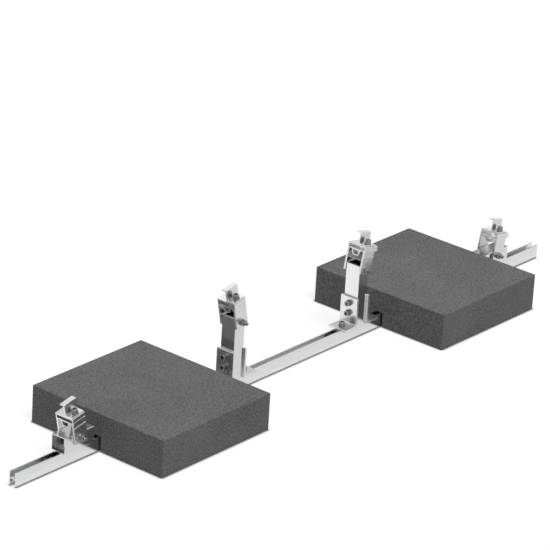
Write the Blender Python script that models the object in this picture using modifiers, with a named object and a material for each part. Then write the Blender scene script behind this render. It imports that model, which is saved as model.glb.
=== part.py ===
"""Ballasted dual-tilt module mount: a base rail with two ballast blocks, two tall posts and two low
bases, each with a tilting head and an end clamp. Metres, +Z up, X along the rail, origin on the
ground at the middle of the rail."""
import math

import bmesh
import bpy
from mathutils import Matrix, Vector

# Module that the mount carries
MODULE_TILT = math.radians(12.3)
FRAME_THICKNESS = 0.027
MODULE_EDGE_Y = -0.002

# Fits
TOUCH_GAP = 0.0003
TUBE_CLEARANCE = 0.0007
HOLE_CLEARANCE = 0.0004
CUT_OVERRUN = 0.004
MERGE_DISTANCE = 0.00001

# Base rail
RAIL_WIDTH = 0.020
RAIL_HEIGHT = 0.0345
RAIL_WALL = 0.0021
RAIL_LIP_WIDTH = 0.0034
RAIL_LIP_HEIGHT = 0.0030
RAIL_LIP_SLOPE = 0.0013
RAIL_WEB_TOP = 0.0205
RAIL_WEB_THICKNESS = 0.0028
RAIL_FOOT_WIDTH = 0.0034
RAIL_FOOT_HEIGHT = 0.0030
RAIL_CHAMFER = 0.0018
RAIL_OVERHANG = 0.1415

# Ballast blocks
BLOCK_LENGTH = 0.3588
BLOCK_WIDTH = 0.392
BLOCK_HEIGHT = 0.0905
BLOCK_CHAMFER = 0.0014
BLOCK_TO_FOOT = 0.0289
BLOCK_TO_BASE = 0.0300
GROOVE_SIDE_CLEARANCE = 0.0032
GROOVE_TOP_CLEARANCE = 0.0003

# Posts
POST_X = 0.223
POST_WIDTH_X = 0.034
POST_WIDTH_Y = 0.040
TUBE_WALL = 0.0020
TUBE_CORNER = 0.0012
PIVOT_EDGE = 0.0102

# Low bases
LOW_BASE_LENGTH = 0.093
LOW_BASE_HEIGHT = 0.0396

# L-feet
FOOT_WIDTH = 0.050
FOOT_THICKNESS = 0.006
FOOT_LEG_LENGTH = 0.046
FOOT_TOP = 0.108
FOOT_FILLET = 0.004
FOOT_EDGE_ROUND = 0.0012
FOOT_BOLT_HEIGHTS = (0.068, 0.093)
FOOT_RAIL_BOLT_REACH = 0.0275

# Tilting heads, measured in the head's own axes from the pivot
HEAD_LENGTH = 0.038
HEAD_WIDTH = 0.051
HEAD_PIVOT_DEPTH = 0.057
HEAD_LEG_BELOW_PIVOT = 0.011
HEAD_TOP_WALL = 0.0030
HEAD_CHAMBER_WALL = 0.0026
HEAD_CHAMBER_HEIGHT = 0.0080
HEAD_CHAMBER_FLOOR = 0.0026
HEAD_RIB_HEIGHT = 0.0018
HEAD_RIB_OUT = 0.0011
HEAD_RIB_SLOPE = 0.0004
HEAD_LOWER_RIB_DEPTH = 0.0270
HEAD_KEEL_TOP_WIDTH = 0.026
HEAD_KEEL_BOTTOM_WIDTH = 0.016
HEAD_KEEL_DEPTH = 0.0270
HEAD_KEEL_WALL = 0.0022
HEAD_KEEL_ROOT = 0.0010
HEAD_TOP_EXTENSION = 0.008

# End clamps
CLAMP_WALL = 0.0030
CLAMP_LIP_REACH = 0.010
CLAMP_FOOT_REACH = 0.0185
CLAMP_FILLET = 0.0012

# Fasteners
BOLT_DIAMETER = 0.008
NUT_ACROSS_FLATS = 0.013
NUT_HEIGHT = 0.0068
HEX_HEAD_HEIGHT = 0.0055
SOCKET_HEAD_DIAMETER = 0.013
SOCKET_HEAD_HEIGHT = 0.008
SOCKET_ACROSS_FLATS = 0.0062
SOCKET_DEPTH = 0.0045
BOLT_CHAMFER = 0.0008
WASHER_DIAMETER = 0.016
WASHER_THICKNESS = 0.0016
SPRING_WASHER_DIAMETER = 0.0142
SPRING_WASHER_THICKNESS = 0.0022
PIVOT_THREAD_END = 0.0085
POST_BOLT_END = 0.0040
RAIL_NUT_LENGTH = 0.018
RAIL_NUT_HEIGHT = 0.0060
RAIL_BOLT_END = 0.0015
CLAMP_NUT_LENGTH = 0.018
CLAMP_NUT_WIDTH = 0.0138
CLAMP_NUT_HEIGHT = 0.0050
CLAMP_BOLT_END = 0.0012
CLAMP_BOLT_Y = -0.0155

# Round surfaces
BOLT_SIDES = 20
HOLE_SIDES = 20
CORNER_STEPS = 3
SMOOTH_ANGLE = math.radians(35)
FLAT_ANGLE = math.radians(0.1)

# Places that follow from the sizes above
SIDES = {"left": -1, "right": 1}
BOLT_RADIUS = BOLT_DIAMETER / 2
HOLE_RADIUS = BOLT_RADIUS + HOLE_CLEARANCE
LEG_INNER_Y = POST_WIDTH_Y / 2 + TUBE_CLEARANCE
LEG_OUTER_Y = HEAD_WIDTH / 2
TUBE_BOTTOM = RAIL_HEIGHT + TOUCH_GAP
BLOCK_INNER_X = POST_X + POST_WIDTH_X / 2 + TOUCH_GAP + FOOT_LEG_LENGTH + BLOCK_TO_FOOT
LOW_BASE_X = BLOCK_INNER_X + BLOCK_LENGTH + BLOCK_TO_BASE + LOW_BASE_LENGTH / 2
RAIL_LENGTH = 2 * (LOW_BASE_X + LOW_BASE_LENGTH / 2 + RAIL_OVERHANG)


def pivot_height(x):
    """Height of a head's pivot at x, on the slope that runs up from the low base's pivot."""
    return TUBE_BOTTOM + LOW_BASE_HEIGHT - PIVOT_EDGE + (LOW_BASE_X - x) * math.tan(MODULE_TILT)


PARTS = None
CUTTERS = None


def clear_scene():
    """Remove every object of the open file and make the two collections."""
    global PARTS, CUTTERS
    for old in list(bpy.data.objects):
        bpy.data.objects.remove(old, do_unlink=True)
    PARTS = bpy.data.collections.new("solar_ballast_mount")
    CUTTERS = bpy.data.collections.new("cutters")
    for collection in (PARTS, CUTTERS):
        bpy.context.scene.collection.children.link(collection)


def make_material(name, colour, roughness, metallic):
    """Principled material with a plain colour."""
    material = bpy.data.materials.new(name)
    material.use_nodes = True
    shader = material.node_tree.nodes["Principled BSDF"]
    shader.inputs["Base Color"].default_value = (*colour, 1)
    shader.inputs["Roughness"].default_value = roughness
    shader.inputs["Metallic"].default_value = metallic
    material.diffuse_color = (*colour, 1)
    return material


def aluminium(name):
    return make_material(name + "_aluminium", (0.82, 0.83, 0.84), 0.12, 1.0)


def steel(name):
    return make_material(name + "_steel", (0.58, 0.58, 0.57), 0.25, 1.0)


def concrete(name):
    return make_material(name + "_concrete", (0.16, 0.16, 0.16), 0.9, 0.0)


def add_object(name, mesh, material, place=None, parent=None, collection=None):
    """Link a mesh as a named object at a place under its parent."""
    piece = bpy.data.objects.new(name, mesh)
    (collection or PARTS).objects.link(piece)
    if parent is not None:
        piece.parent = parent
    if place is not None:
        piece.matrix_local = place
    if material is not None:
        mesh.materials.clear()
        mesh.materials.append(material)
    return piece


def add_empty(name, location, tilt=0):
    """Empty that carries a head, turned about Y by the module's tilt."""
    carrier = bpy.data.objects.new(name, None)
    PARTS.objects.link(carrier)
    carrier.location = location
    carrier.rotation_euler = (0, tilt, 0)
    return carrier


def smooth_by_angle(mesh):
    """Round faces smooth, edges sharper than the limit crisp."""
    mesh.shade_smooth()
    mesh.set_sharp_from_angle(angle=SMOOTH_ANGLE)


# Outlines

def arc(centre, radius, start, end, steps):
    """Points of an arc in degrees, both ends included."""
    points = []
    for step in range(steps + 1):
        angle = math.radians(start + (end - start) * step / steps)
        points.append((centre[0] + radius * math.cos(angle), centre[1] + radius * math.sin(angle)))
    return points


def rounded_box(width, height, radius, centre=(0, 0)):
    """Closed outline of a box with round corners, counter-clockwise."""
    half_width = width / 2 - radius
    half_height = height / 2 - radius
    outline = []
    for quarter, (sign_x, sign_y) in enumerate(((1, 1), (-1, 1), (-1, -1), (1, -1))):
        middle = (centre[0] + sign_x * half_width, centre[1] + sign_y * half_height)
        outline += arc(middle, radius, 90 * quarter, 90 * quarter + 90, CORNER_STEPS)
    return outline


def mirrored(half):
    """Whole outline from its +X half, listed from the top middle down to the bottom middle."""
    other = [(-x, y) for x, y in reversed(half) if x > 0]
    return half + other


def extrude_outlines(name, outlines, depth):
    """Mesh of flat outlines, the first the rim and the others holes, extruded along local Z."""
    curve = bpy.data.curves.new(name + "_outline", "CURVE")
    curve.dimensions = "2D"
    curve.fill_mode = "BOTH"
    curve.extrude = depth / 2
    for outline in outlines:
        spline = curve.splines.new("POLY")
        spline.points.add(len(outline) - 1)
        for point, (x, y) in zip(spline.points, outline):
            point.co = (x, y, 0, 1)
        spline.use_cyclic_u = True
    flat = bpy.data.objects.new(name + "_outline", curve)
    CUTTERS.objects.link(flat)
    view = bpy.context.evaluated_depsgraph_get()
    mesh = bpy.data.meshes.new_from_object(flat.evaluated_get(view))
    bpy.data.objects.remove(flat, do_unlink=True)
    bpy.data.curves.remove(curve)
    mesh.name = name
    shape = bmesh.new()
    shape.from_mesh(mesh)
    bmesh.ops.remove_doubles(shape, verts=shape.verts, dist=MERGE_DISTANCE)
    if len(outlines) == 1:
        bmesh.ops.dissolve_limit(shape, angle_limit=FLAT_ANGLE, verts=shape.verts,
                                 edges=shape.edges)
    bmesh.ops.recalc_face_normals(shape, faces=shape.faces)
    shape.to_mesh(mesh)
    shape.free()
    smooth_by_angle(mesh)
    return mesh


# Frames of profiles: local x and y are the outline's, local z the way it is extruded
ALONG_X = Matrix(((0, 0, 1, 0), (1, 0, 0, 0), (0, 1, 0, 0), (0, 0, 0, 1)))
ALONG_Y = Matrix(((1, 0, 0, 0), (0, 0, -1, 0), (0, 1, 0, 0), (0, 0, 0, 1)))


def moved(x, y, z):
    return Matrix.Translation(Vector((x, y, z)))


# Cutters

def cylinder_mesh(name, radius, length, sides):
    """Cylinder along local Z, centred."""
    mesh = bpy.data.meshes.new(name)
    shape = bmesh.new()
    bmesh.ops.create_cone(shape, cap_ends=True, segments=sides, radius1=radius, radius2=radius,
                          depth=length)
    shape.to_mesh(mesh)
    shape.free()
    return mesh


def box_mesh(name, size):
    """Box of a given size, centred."""
    mesh = bpy.data.meshes.new(name)
    shape = bmesh.new()
    bmesh.ops.create_cube(shape, size=1)
    bmesh.ops.scale(shape, vec=Vector(size), verts=shape.verts)
    shape.to_mesh(mesh)
    shape.free()
    return mesh


def cut(piece, mesh, place):
    """Cut a cutter's mesh out of a piece, placed in the piece's own axes."""
    cutter = add_object("cut_" + mesh.name, mesh, None, collection=CUTTERS)
    cutter.parent = piece
    cutter.matrix_local = place
    cutter.hide_render = True
    cutter.display_type = "WIRE"
    boolean = piece.modifiers.new(mesh.name, "BOOLEAN")
    boolean.operation = "DIFFERENCE"
    boolean.solver = "EXACT"
    boolean.object = cutter
    return cutter


def bore(piece, name, place, length, axis="Z", radius=HOLE_RADIUS):
    """Round hole through a piece along one of its axes."""
    turn = {"X": Matrix.Rotation(math.pi / 2, 4, "Y"),
            "Y": Matrix.Rotation(math.pi / 2, 4, "X"),
            "Z": Matrix.Identity(4)}[axis]
    mesh = cylinder_mesh(name, radius, length, HOLE_SIDES)
    cut(piece, mesh, moved(*place) @ turn)


# Fastener solids, each along local Z with its seat at zero and its shank downwards

def evaluated_copy(piece, name):
    """Mesh of an object with its modifiers applied, after which the object is removed."""
    view = bpy.context.evaluated_depsgraph_get()
    mesh = bpy.data.meshes.new_from_object(piece.evaluated_get(view))
    mesh.name = name
    for child in list(piece.children):
        bpy.data.objects.remove(child, do_unlink=True)
    bpy.data.objects.remove(piece, do_unlink=True)
    return mesh


def turned_mesh(name, profile, sides):
    """Closed solid turned about Z from a profile at +X that starts and ends on the axis."""
    mesh = bpy.data.meshes.new(name)
    corners = [(x, 0, z) for x, z in profile]
    mesh.from_pydata(corners, [(first, first + 1) for first in range(len(corners) - 1)], [])
    piece = add_object(name + "_profile", mesh, None, collection=CUTTERS)
    turn = piece.modifiers.new("turn", "SCREW")
    turn.axis = "Z"
    turn.steps = sides
    turn.render_steps = sides
    turn.use_merge_vertices = True
    turn.merge_threshold = MERGE_DISTANCE
    return evaluated_copy(piece, name)


def stacked_profile(rings, shank):
    """Turned profile of washers stacked downwards from zero, then the shank and its tip."""
    profile = []
    level = 0
    for diameter, thickness in rings:
        profile += [(diameter / 2, level), (diameter / 2, level - thickness)]
        level -= thickness
    tip = BOLT_RADIUS - BOLT_CHAMFER
    end = level - shank
    return profile + [(BOLT_RADIUS, level), (BOLT_RADIUS, end + BOLT_CHAMFER), (tip, end), (0, end)]


def socket_bolt(name, rings, shank):
    """Cap screw with its washers: round head with a hexagon socket above zero."""
    radius = SOCKET_HEAD_DIAMETER / 2
    head = [(0, SOCKET_HEAD_HEIGHT), (radius - BOLT_CHAMFER, SOCKET_HEAD_HEIGHT),
            (radius, SOCKET_HEAD_HEIGHT - BOLT_CHAMFER), (radius, 0)]
    mesh = turned_mesh(name, head + stacked_profile(rings, shank), BOLT_SIDES)
    blank = add_object(name + "_blank", mesh, None)
    socket = hexagon(name + "_socket", SOCKET_ACROSS_FLATS, SOCKET_DEPTH + CUT_OVERRUN,
                     SOCKET_HEAD_HEIGHT - SOCKET_DEPTH)
    cut(blank, socket, Matrix.Identity(4))
    return evaluated_copy(blank, name)


def hexagon(name, across_flats, height, bottom):
    """Hexagonal prism that stands on a given height."""
    radius = across_flats / 2 / math.cos(math.pi / 6)
    mesh = cylinder_mesh(name, radius, height, 6)
    mesh.transform(moved(0, 0, bottom + height / 2))
    return mesh


def join_turned(blank, name, mesh):
    """Unite a turned solid with a hexagon."""
    turned = add_object(name, mesh, None, collection=CUTTERS)
    turned.parent = blank
    union = blank.modifiers.new("union", "BOOLEAN")
    union.operation = "UNION"
    union.solver = "EXACT"
    union.object = turned


def hex_bolt(name, rings, shank):
    """Hexagon-head bolt with its washer: head above zero, shank below."""
    blank = add_object(name + "_blank", hexagon(name, NUT_ACROSS_FLATS, HEX_HEAD_HEIGHT, 0), None)
    root = HEX_HEAD_HEIGHT / 2
    profile = [(0, root), (BOLT_RADIUS, root), (BOLT_RADIUS, 0)] + stacked_profile(rings, shank)
    join_turned(blank, name + "_rod", turned_mesh(name + "_rod", profile, BOLT_SIDES))
    return evaluated_copy(blank, name)


def washer_nut(name):
    """Hexagon nut on a washer, from zero upwards, with one bore."""
    height = NUT_HEIGHT + WASHER_THICKNESS
    blank = add_object(name + "_blank", hexagon(name, NUT_ACROSS_FLATS, NUT_HEIGHT,
                                                WASHER_THICKNESS), None)
    radius = WASHER_DIAMETER / 2
    core = NUT_ACROSS_FLATS / 2 - BOLT_CHAMFER
    root = WASHER_THICKNESS + NUT_HEIGHT / 2
    profile = [(0, root), (core, root), (core, WASHER_THICKNESS), (radius, WASHER_THICKNESS),
               (radius, 0), (0, 0)]
    join_turned(blank, name + "_washer", turned_mesh(name + "_washer", profile, BOLT_SIDES))
    drill = cylinder_mesh(name + "_bore", HOLE_RADIUS, height + CUT_OVERRUN, HOLE_SIDES)
    cut(blank, drill, moved(0, 0, height / 2))
    return evaluated_copy(blank, name)


def channel_nut(name, length, width, height):
    """Rectangular threaded plate from zero downwards."""
    rim = rounded_box(length, width, TUBE_CORNER)
    hole = arc((0, 0), HOLE_RADIUS, 0, 360, HOLE_SIDES)[:-1]
    mesh = extrude_outlines(name, [rim, hole], height)
    mesh.transform(moved(0, 0, -height / 2))
    return mesh


def place_copies(name, mesh, places):
    """One object for each named place, all on the same mesh."""
    smooth_by_angle(mesh)
    material = steel(name)
    for spot, place in places.items():
        add_object(f"{name}_{spot}", mesh, material, place)


# Base rail

def rail_outline():
    """H-section in Y and Z: undercut channel above the web, open channel below it."""
    half = RAIL_WIDTH / 2
    inner = half - RAIL_WALL
    lip = half - RAIL_LIP_WIDTH
    foot = half - RAIL_FOOT_WIDTH
    web_bottom = RAIL_WEB_TOP - RAIL_WEB_THICKNESS
    right = [(lip, RAIL_HEIGHT), (half, RAIL_HEIGHT), (half, RAIL_CHAMFER),
             (half - RAIL_CHAMFER, 0), (foot, 0), (foot, RAIL_FOOT_HEIGHT),
             (inner, RAIL_FOOT_HEIGHT + RAIL_LIP_SLOPE), (inner, web_bottom)]
    left = [(-y, z) for y, z in reversed(right)]
    upper_left = [(-lip, RAIL_HEIGHT - RAIL_LIP_HEIGHT),
                  (-inner, RAIL_HEIGHT - RAIL_LIP_HEIGHT - RAIL_LIP_SLOPE), (-inner, RAIL_WEB_TOP)]
    upper_right = [(-y, z) for y, z in reversed(upper_left)]
    return right + left + upper_left + upper_right


def build_rail():
    mesh = extrude_outlines("base_rail", [rail_outline()], RAIL_LENGTH)
    return add_object("base_rail", mesh, aluminium("base_rail"), ALONG_X)


# Ballast blocks

def build_block(side):
    """Concrete block with a groove underneath for the rail."""
    name = f"ballast_block_{side}"
    half_width = BLOCK_WIDTH / 2
    groove_half = RAIL_WIDTH / 2 + GROOVE_SIDE_CLEARANCE
    groove_top = RAIL_HEIGHT + GROOVE_TOP_CLEARANCE
    outline = [(groove_half, 0), (half_width, 0), (half_width, BLOCK_HEIGHT),
               (-half_width, BLOCK_HEIGHT), (-half_width, 0), (-groove_half, 0),
               (-groove_half, groove_top), (groove_half, groove_top)]
    mesh = extrude_outlines(name, [outline], BLOCK_LENGTH)
    middle = SIDES[side] * (BLOCK_INNER_X + BLOCK_LENGTH / 2)
    block = add_object(name, mesh, concrete(name), moved(middle, 0, 0) @ ALONG_X)
    edges = block.modifiers.new("arris", "BEVEL")
    edges.width = BLOCK_CHAMFER
    edges.segments = 1
    edges.limit_method = "ANGLE"
    return block


# Posts and low bases

def tube_mesh(name, width, height, length):
    """Rectangular tube along local Z, open at both ends."""
    rim = rounded_box(width, height, TUBE_CORNER)
    inner_corner = max(TUBE_CORNER - TUBE_WALL, TUBE_WALL / 4)
    hole = rounded_box(width - 2 * TUBE_WALL, height - 2 * TUBE_WALL, inner_corner)
    return extrude_outlines(name, [rim, hole], length)


def build_post(side):
    """Upright tube on the rail, with the pivot's holes near its top."""
    name = f"post_{side}"
    length = pivot_height(POST_X) + PIVOT_EDGE - TUBE_BOTTOM
    mesh = tube_mesh(name, POST_WIDTH_X, POST_WIDTH_Y, length)
    place = moved(SIDES[side] * POST_X, 0, TUBE_BOTTOM + length / 2)
    post = add_object(name, mesh, aluminium(name), place)
    middle = TUBE_BOTTOM + length / 2
    bore(post, f"{name}_pivot", (0, 0, pivot_height(POST_X) - middle),
         POST_WIDTH_Y + CUT_OVERRUN, "Y")
    for level, height in enumerate(FOOT_BOLT_HEIGHTS):
        bore(post, f"{name}_foot_{level}", (0, 0, height - middle), POST_WIDTH_X + CUT_OVERRUN, "X")
    return post


def build_low_base(side):
    """Short tube lying along the rail, bolted down from inside."""
    name = f"low_base_{side}"
    mesh = tube_mesh(name, POST_WIDTH_Y, LOW_BASE_HEIGHT, LOW_BASE_LENGTH)
    middle = TUBE_BOTTOM + LOW_BASE_HEIGHT / 2
    place = moved(SIDES[side] * LOW_BASE_X, 0, middle) @ ALONG_X
    base = add_object(name, mesh, aluminium(name), place)
    bore(base, f"{name}_pivot", (0, pivot_height(LOW_BASE_X) - middle, 0),
         POST_WIDTH_Y + CUT_OVERRUN, "X")
    bore(base, f"{name}_rail", (0, (TUBE_WALL - LOW_BASE_HEIGHT) / 2, 0),
         TUBE_WALL + CUT_OVERRUN, "Y")
    return base


# L-feet

def foot_outline(direction):
    """L in X and Z: the upright on the post's face at zero, the leg away from the post."""
    top = FOOT_TOP - TUBE_BOTTOM
    start = [(0, 0), (0, top)]
    crown = arc((FOOT_THICKNESS - FOOT_EDGE_ROUND, top - FOOT_EDGE_ROUND), FOOT_EDGE_ROUND,
                90, 0, CORNER_STEPS)
    heel = arc((FOOT_THICKNESS + FOOT_FILLET, FOOT_THICKNESS + FOOT_FILLET), FOOT_FILLET,
               180, 270, CORNER_STEPS)
    toe = arc((FOOT_LEG_LENGTH - FOOT_EDGE_ROUND, FOOT_THICKNESS - FOOT_EDGE_ROUND),
              FOOT_EDGE_ROUND, 90, 0, CORNER_STEPS)
    outline = start + crown + heel + toe + [(FOOT_LEG_LENGTH, 0)]
    return [(direction * x, z) for x, z in outline]


def build_foot(side, end):
    """L-foot on one face of a post; inner is the side of the ridge."""
    name = f"foot_{side}_{end}"
    direction = SIDES[side] * (-1 if end == "inner" else 1)
    face = SIDES[side] * POST_X + direction * (POST_WIDTH_X / 2 + TOUCH_GAP)
    mesh = extrude_outlines(name, [foot_outline(direction)], FOOT_WIDTH)
    foot = add_object(name, mesh, aluminium(name), moved(face, 0, TUBE_BOTTOM) @ ALONG_Y)
    for level, height in enumerate(FOOT_BOLT_HEIGHTS):
        bore(foot, f"{name}_post_{level}", (direction * FOOT_THICKNESS / 2, height - TUBE_BOTTOM, 0),
             FOOT_THICKNESS + CUT_OVERRUN, "X")
    bore(foot, f"{name}_rail", (direction * FOOT_RAIL_BOLT_REACH, FOOT_THICKNESS / 2, 0),
         FOOT_THICKNESS + CUT_OVERRUN, "Y")
    return foot


# Tilting heads

def head_section():
    """Cross-section of a head in its own Y and Z: rim, upper chamber and keel."""
    top = HEAD_PIVOT_DEPTH
    outer = LEG_OUTER_Y
    rib = outer + HEAD_RIB_OUT
    floor_top = top - HEAD_TOP_WALL - HEAD_CHAMBER_HEIGHT
    floor_bottom = floor_top - HEAD_CHAMBER_FLOOR
    upper_rib = floor_bottom + 3 * HEAD_RIB_SLOPE
    lower_rib = top - HEAD_LOWER_RIB_DEPTH
    foot = -HEAD_LEG_BELOW_PIVOT
    keel_bottom = top - HEAD_KEEL_DEPTH
    half = [(0, top), (rib, top), (rib, top - HEAD_RIB_HEIGHT),
            (outer, top - HEAD_RIB_HEIGHT - HEAD_RIB_SLOPE)]
    for height in (upper_rib, lower_rib):
        half += [(outer, height + HEAD_RIB_HEIGHT + HEAD_RIB_SLOPE), (rib, height + HEAD_RIB_HEIGHT),
                 (rib, height), (outer, height - HEAD_RIB_SLOPE)]
    half += [(outer, foot), (LEG_INNER_Y, foot), (LEG_INNER_Y, floor_bottom),
             (HEAD_KEEL_TOP_WIDTH / 2, floor_bottom - HEAD_RIB_SLOPE),
             (HEAD_KEEL_BOTTOM_WIDTH / 2, keel_bottom)]
    rim = mirrored(half)
    chamber_width = 2 * (outer - HEAD_CHAMBER_WALL)
    chamber = rounded_box(chamber_width, HEAD_CHAMBER_HEIGHT, HEAD_CHAMBER_WALL / 4,
                          (0, floor_top + HEAD_CHAMBER_HEIGHT / 2))
    root = HEAD_KEEL_TOP_WIDTH / 2 - HEAD_KEEL_WALL - HEAD_KEEL_ROOT
    keel = [(root, floor_bottom - HEAD_KEEL_ROOT), (-root, floor_bottom - HEAD_KEEL_ROOT),
            (-HEAD_KEEL_BOTTOM_WIDTH / 2 + HEAD_KEEL_WALL, keel_bottom + HEAD_KEEL_WALL),
            (HEAD_KEEL_BOTTOM_WIDTH / 2 - HEAD_KEEL_WALL, keel_bottom + HEAD_KEEL_WALL)]
    return [rim, chamber, keel]


def build_head(level, side, carrier):
    """Extruded head: legs astride its tube, chamber for the clamp's nut under a flat top."""
    name = f"head_{level}_{side}"
    extension = HEAD_TOP_EXTENSION if side == "right" else 0
    length = HEAD_LENGTH + extension
    mesh = extrude_outlines(name, head_section(), length)
    head = add_object(name, mesh, aluminium(name), moved(extension / 2, 0, 0) @ ALONG_X, carrier)
    shift = -extension / 2
    bore(head, f"{name}_pivot", (0, 0, shift), HEAD_WIDTH + CUT_OVERRUN, "X")
    bore(head, f"{name}_clamp", (CLAMP_BOLT_Y, HEAD_PIVOT_DEPTH, shift),
         2 * HEAD_TOP_WALL + CUT_OVERRUN, "Y")
    if extension:
        depth = HEAD_TOP_WALL + HEAD_CHAMBER_HEIGHT + HEAD_CHAMBER_FLOOR - HEAD_RIB_SLOPE
        height = HEAD_PIVOT_DEPTH - depth + HEAD_LEG_BELOW_PIVOT + CUT_OVERRUN
        size = (HEAD_WIDTH + CUT_OVERRUN, height, extension + CUT_OVERRUN)
        notch = box_mesh(f"{name}_notch", size)
        middle = HEAD_PIVOT_DEPTH - depth - height / 2
        cut(head, notch, moved(0, middle, length / 2 - extension + size[2] / 2))
    return head


# End clamps

def clamp_outline():
    """Z in the head's Y and Z: lip over the module frame, upright, foot on the head."""
    front = MODULE_EDGE_Y - CLAMP_WALL
    back = MODULE_EDGE_Y
    top = FRAME_THICKNESS + CLAMP_WALL
    foot_end = front - CLAMP_FOOT_REACH
    lip_end = back + CLAMP_LIP_REACH
    outline = [(back, 0), (back, FRAME_THICKNESS), (lip_end, FRAME_THICKNESS), (lip_end, top)]
    outline += arc((front + CLAMP_FILLET, top - CLAMP_FILLET), CLAMP_FILLET, 90, 180, CORNER_STEPS)
    outline += arc((front - CLAMP_FILLET, CLAMP_WALL + CLAMP_FILLET), CLAMP_FILLET, 0, -90,
                   CORNER_STEPS)
    outline += [(foot_end, CLAMP_WALL), (foot_end, 0)]
    return outline


def build_clamp(level, side, carrier):
    """End clamp on a head, its foot under the bolt."""
    name = f"clamp_{level}_{side}"
    mesh = extrude_outlines(name, [clamp_outline()], HEAD_LENGTH)
    seat = HEAD_PIVOT_DEPTH + TOUCH_GAP
    clamp = add_object(name, mesh, aluminium(name), moved(0, 0, seat) @ ALONG_X, carrier)
    bore(clamp, f"{name}_hole", (CLAMP_BOLT_Y, CLAMP_WALL / 2, 0), CLAMP_WALL + CUT_OVERRUN, "Y")
    return clamp


# Places of the fasteners

def head_places():
    """World matrices of the four heads' own axes, by name."""
    places = {}
    for level, x in (("high", POST_X), ("low", LOW_BASE_X)):
        for side, sign in SIDES.items():
            turn = Matrix.Rotation(sign * MODULE_TILT, 4, "Y")
            places[f"{level}_{side}"] = moved(sign * x, 0, pivot_height(x)) @ turn
    return places


def rail_bolt_places():
    """X of each bolt into the rail, by name: one in each L-foot and one in each low base."""
    reach = POST_WIDTH_X / 2 + TOUCH_GAP + FOOT_RAIL_BOLT_REACH
    feet = {}
    bases = {}
    for side, sign in SIDES.items():
        for end, direction in (("inner", -1), ("outer", 1)):
            feet[f"{side}_{end}"] = sign * (POST_X + direction * reach)
        bases[side] = sign * LOW_BASE_X
    return feet, bases


def build_pivot_fasteners():
    """Hexagon bolts across the heads, head at the back and nut at the front."""
    seat = LEG_OUTER_Y + TOUCH_GAP
    head_seat = seat + WASHER_THICKNESS
    shank = 2 * seat + WASHER_THICKNESS + NUT_HEIGHT + PIVOT_THREAD_END
    back = Matrix.Rotation(-math.pi / 2, 4, "X")
    front = Matrix.Rotation(math.pi / 2, 4, "X")
    bolt = hex_bolt("pivot_bolt", [(WASHER_DIAMETER, WASHER_THICKNESS)], shank)
    heads = head_places()
    place_copies("pivot_bolt", bolt,
                 {spot: place @ moved(0, head_seat, 0) @ back for spot, place in heads.items()})
    place_copies("pivot_nut", washer_nut("pivot_nut"),
                 {spot: place @ moved(0, -seat, 0) @ front for spot, place in heads.items()})


def build_clamp_fasteners():
    """Cap screws with washers on the clamps' feet, channel nuts under the heads' tops."""
    rings = [(SPRING_WASHER_DIAMETER, SPRING_WASHER_THICKNESS), (WASHER_DIAMETER, WASHER_THICKNESS)]
    washer_seat = HEAD_PIVOT_DEPTH + TOUCH_GAP + CLAMP_WALL + TOUCH_GAP
    head_seat = washer_seat + sum(thickness for _, thickness in rings)
    nut_top = HEAD_PIVOT_DEPTH - HEAD_TOP_WALL - TOUCH_GAP
    shank = washer_seat - (nut_top - CLAMP_NUT_HEIGHT - CLAMP_BOLT_END)
    plate = channel_nut("clamp_nut", CLAMP_NUT_WIDTH, CLAMP_NUT_LENGTH, CLAMP_NUT_HEIGHT)
    plate.transform(Matrix.Rotation(math.pi / 2, 4, "Z"))
    heads = head_places()

    def at(height):
        return {spot: place @ moved(0, CLAMP_BOLT_Y, height) for spot, place in heads.items()}

    place_copies("clamp_bolt", socket_bolt("clamp_bolt", rings, shank), at(head_seat))
    place_copies("clamp_nut", plate, at(nut_top))


def build_post_fasteners():
    """Cap screws through both L-feet and the post, heads on the left side of each post."""
    seat = POST_WIDTH_X / 2 + TOUCH_GAP + FOOT_THICKNESS + TOUCH_GAP
    shank = 2 * seat + WASHER_THICKNESS + NUT_HEIGHT + POST_BOLT_END
    leftward = Matrix.Rotation(-math.pi / 2, 4, "Y")
    rightward = Matrix.Rotation(math.pi / 2, 4, "Y")
    bolts = {}
    nuts = {}
    for side, sign in SIDES.items():
        for level, height in zip(("lower", "upper"), FOOT_BOLT_HEIGHTS):
            x = sign * POST_X
            bolts[f"{side}_{level}"] = moved(x - seat - WASHER_THICKNESS, 0, height) @ leftward
            nuts[f"{side}_{level}"] = moved(x + seat, 0, height) @ rightward
    rings = [(WASHER_DIAMETER, WASHER_THICKNESS)]
    place_copies("post_bolt", socket_bolt("post_bolt", rings, shank), bolts)
    place_copies("post_nut", washer_nut("post_nut"), nuts)


def build_rail_fasteners():
    """Cap screws into channel nuts under the rail's lips."""
    nut_top = RAIL_HEIGHT - RAIL_LIP_HEIGHT - RAIL_LIP_SLOPE - TOUCH_GAP
    bolt_bottom = nut_top - RAIL_NUT_HEIGHT - RAIL_BOLT_END
    nut_width = RAIL_WIDTH - 2 * (RAIL_WALL + TOUCH_GAP)
    rings = [(WASHER_DIAMETER, WASHER_THICKNESS)]
    feet, bases = rail_bolt_places()
    for name, spots, plate in (("foot_bolt", feet, FOOT_THICKNESS),
                               ("base_bolt", bases, TUBE_WALL)):
        seat = TUBE_BOTTOM + plate + TOUCH_GAP
        bolt = socket_bolt(name, rings, seat - bolt_bottom)
        place_copies(name, bolt, {spot: moved(x, 0, seat + WASHER_THICKNESS)
                                  for spot, x in spots.items()})
    nut_places = {f"foot_{spot}": moved(x, 0, nut_top) for spot, x in feet.items()}
    nut_places.update({f"base_{spot}": moved(x, 0, nut_top) for spot, x in bases.items()})
    place_copies("rail_nut", channel_nut("rail_nut", RAIL_NUT_LENGTH, nut_width, RAIL_NUT_HEIGHT),
                 nut_places)


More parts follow.
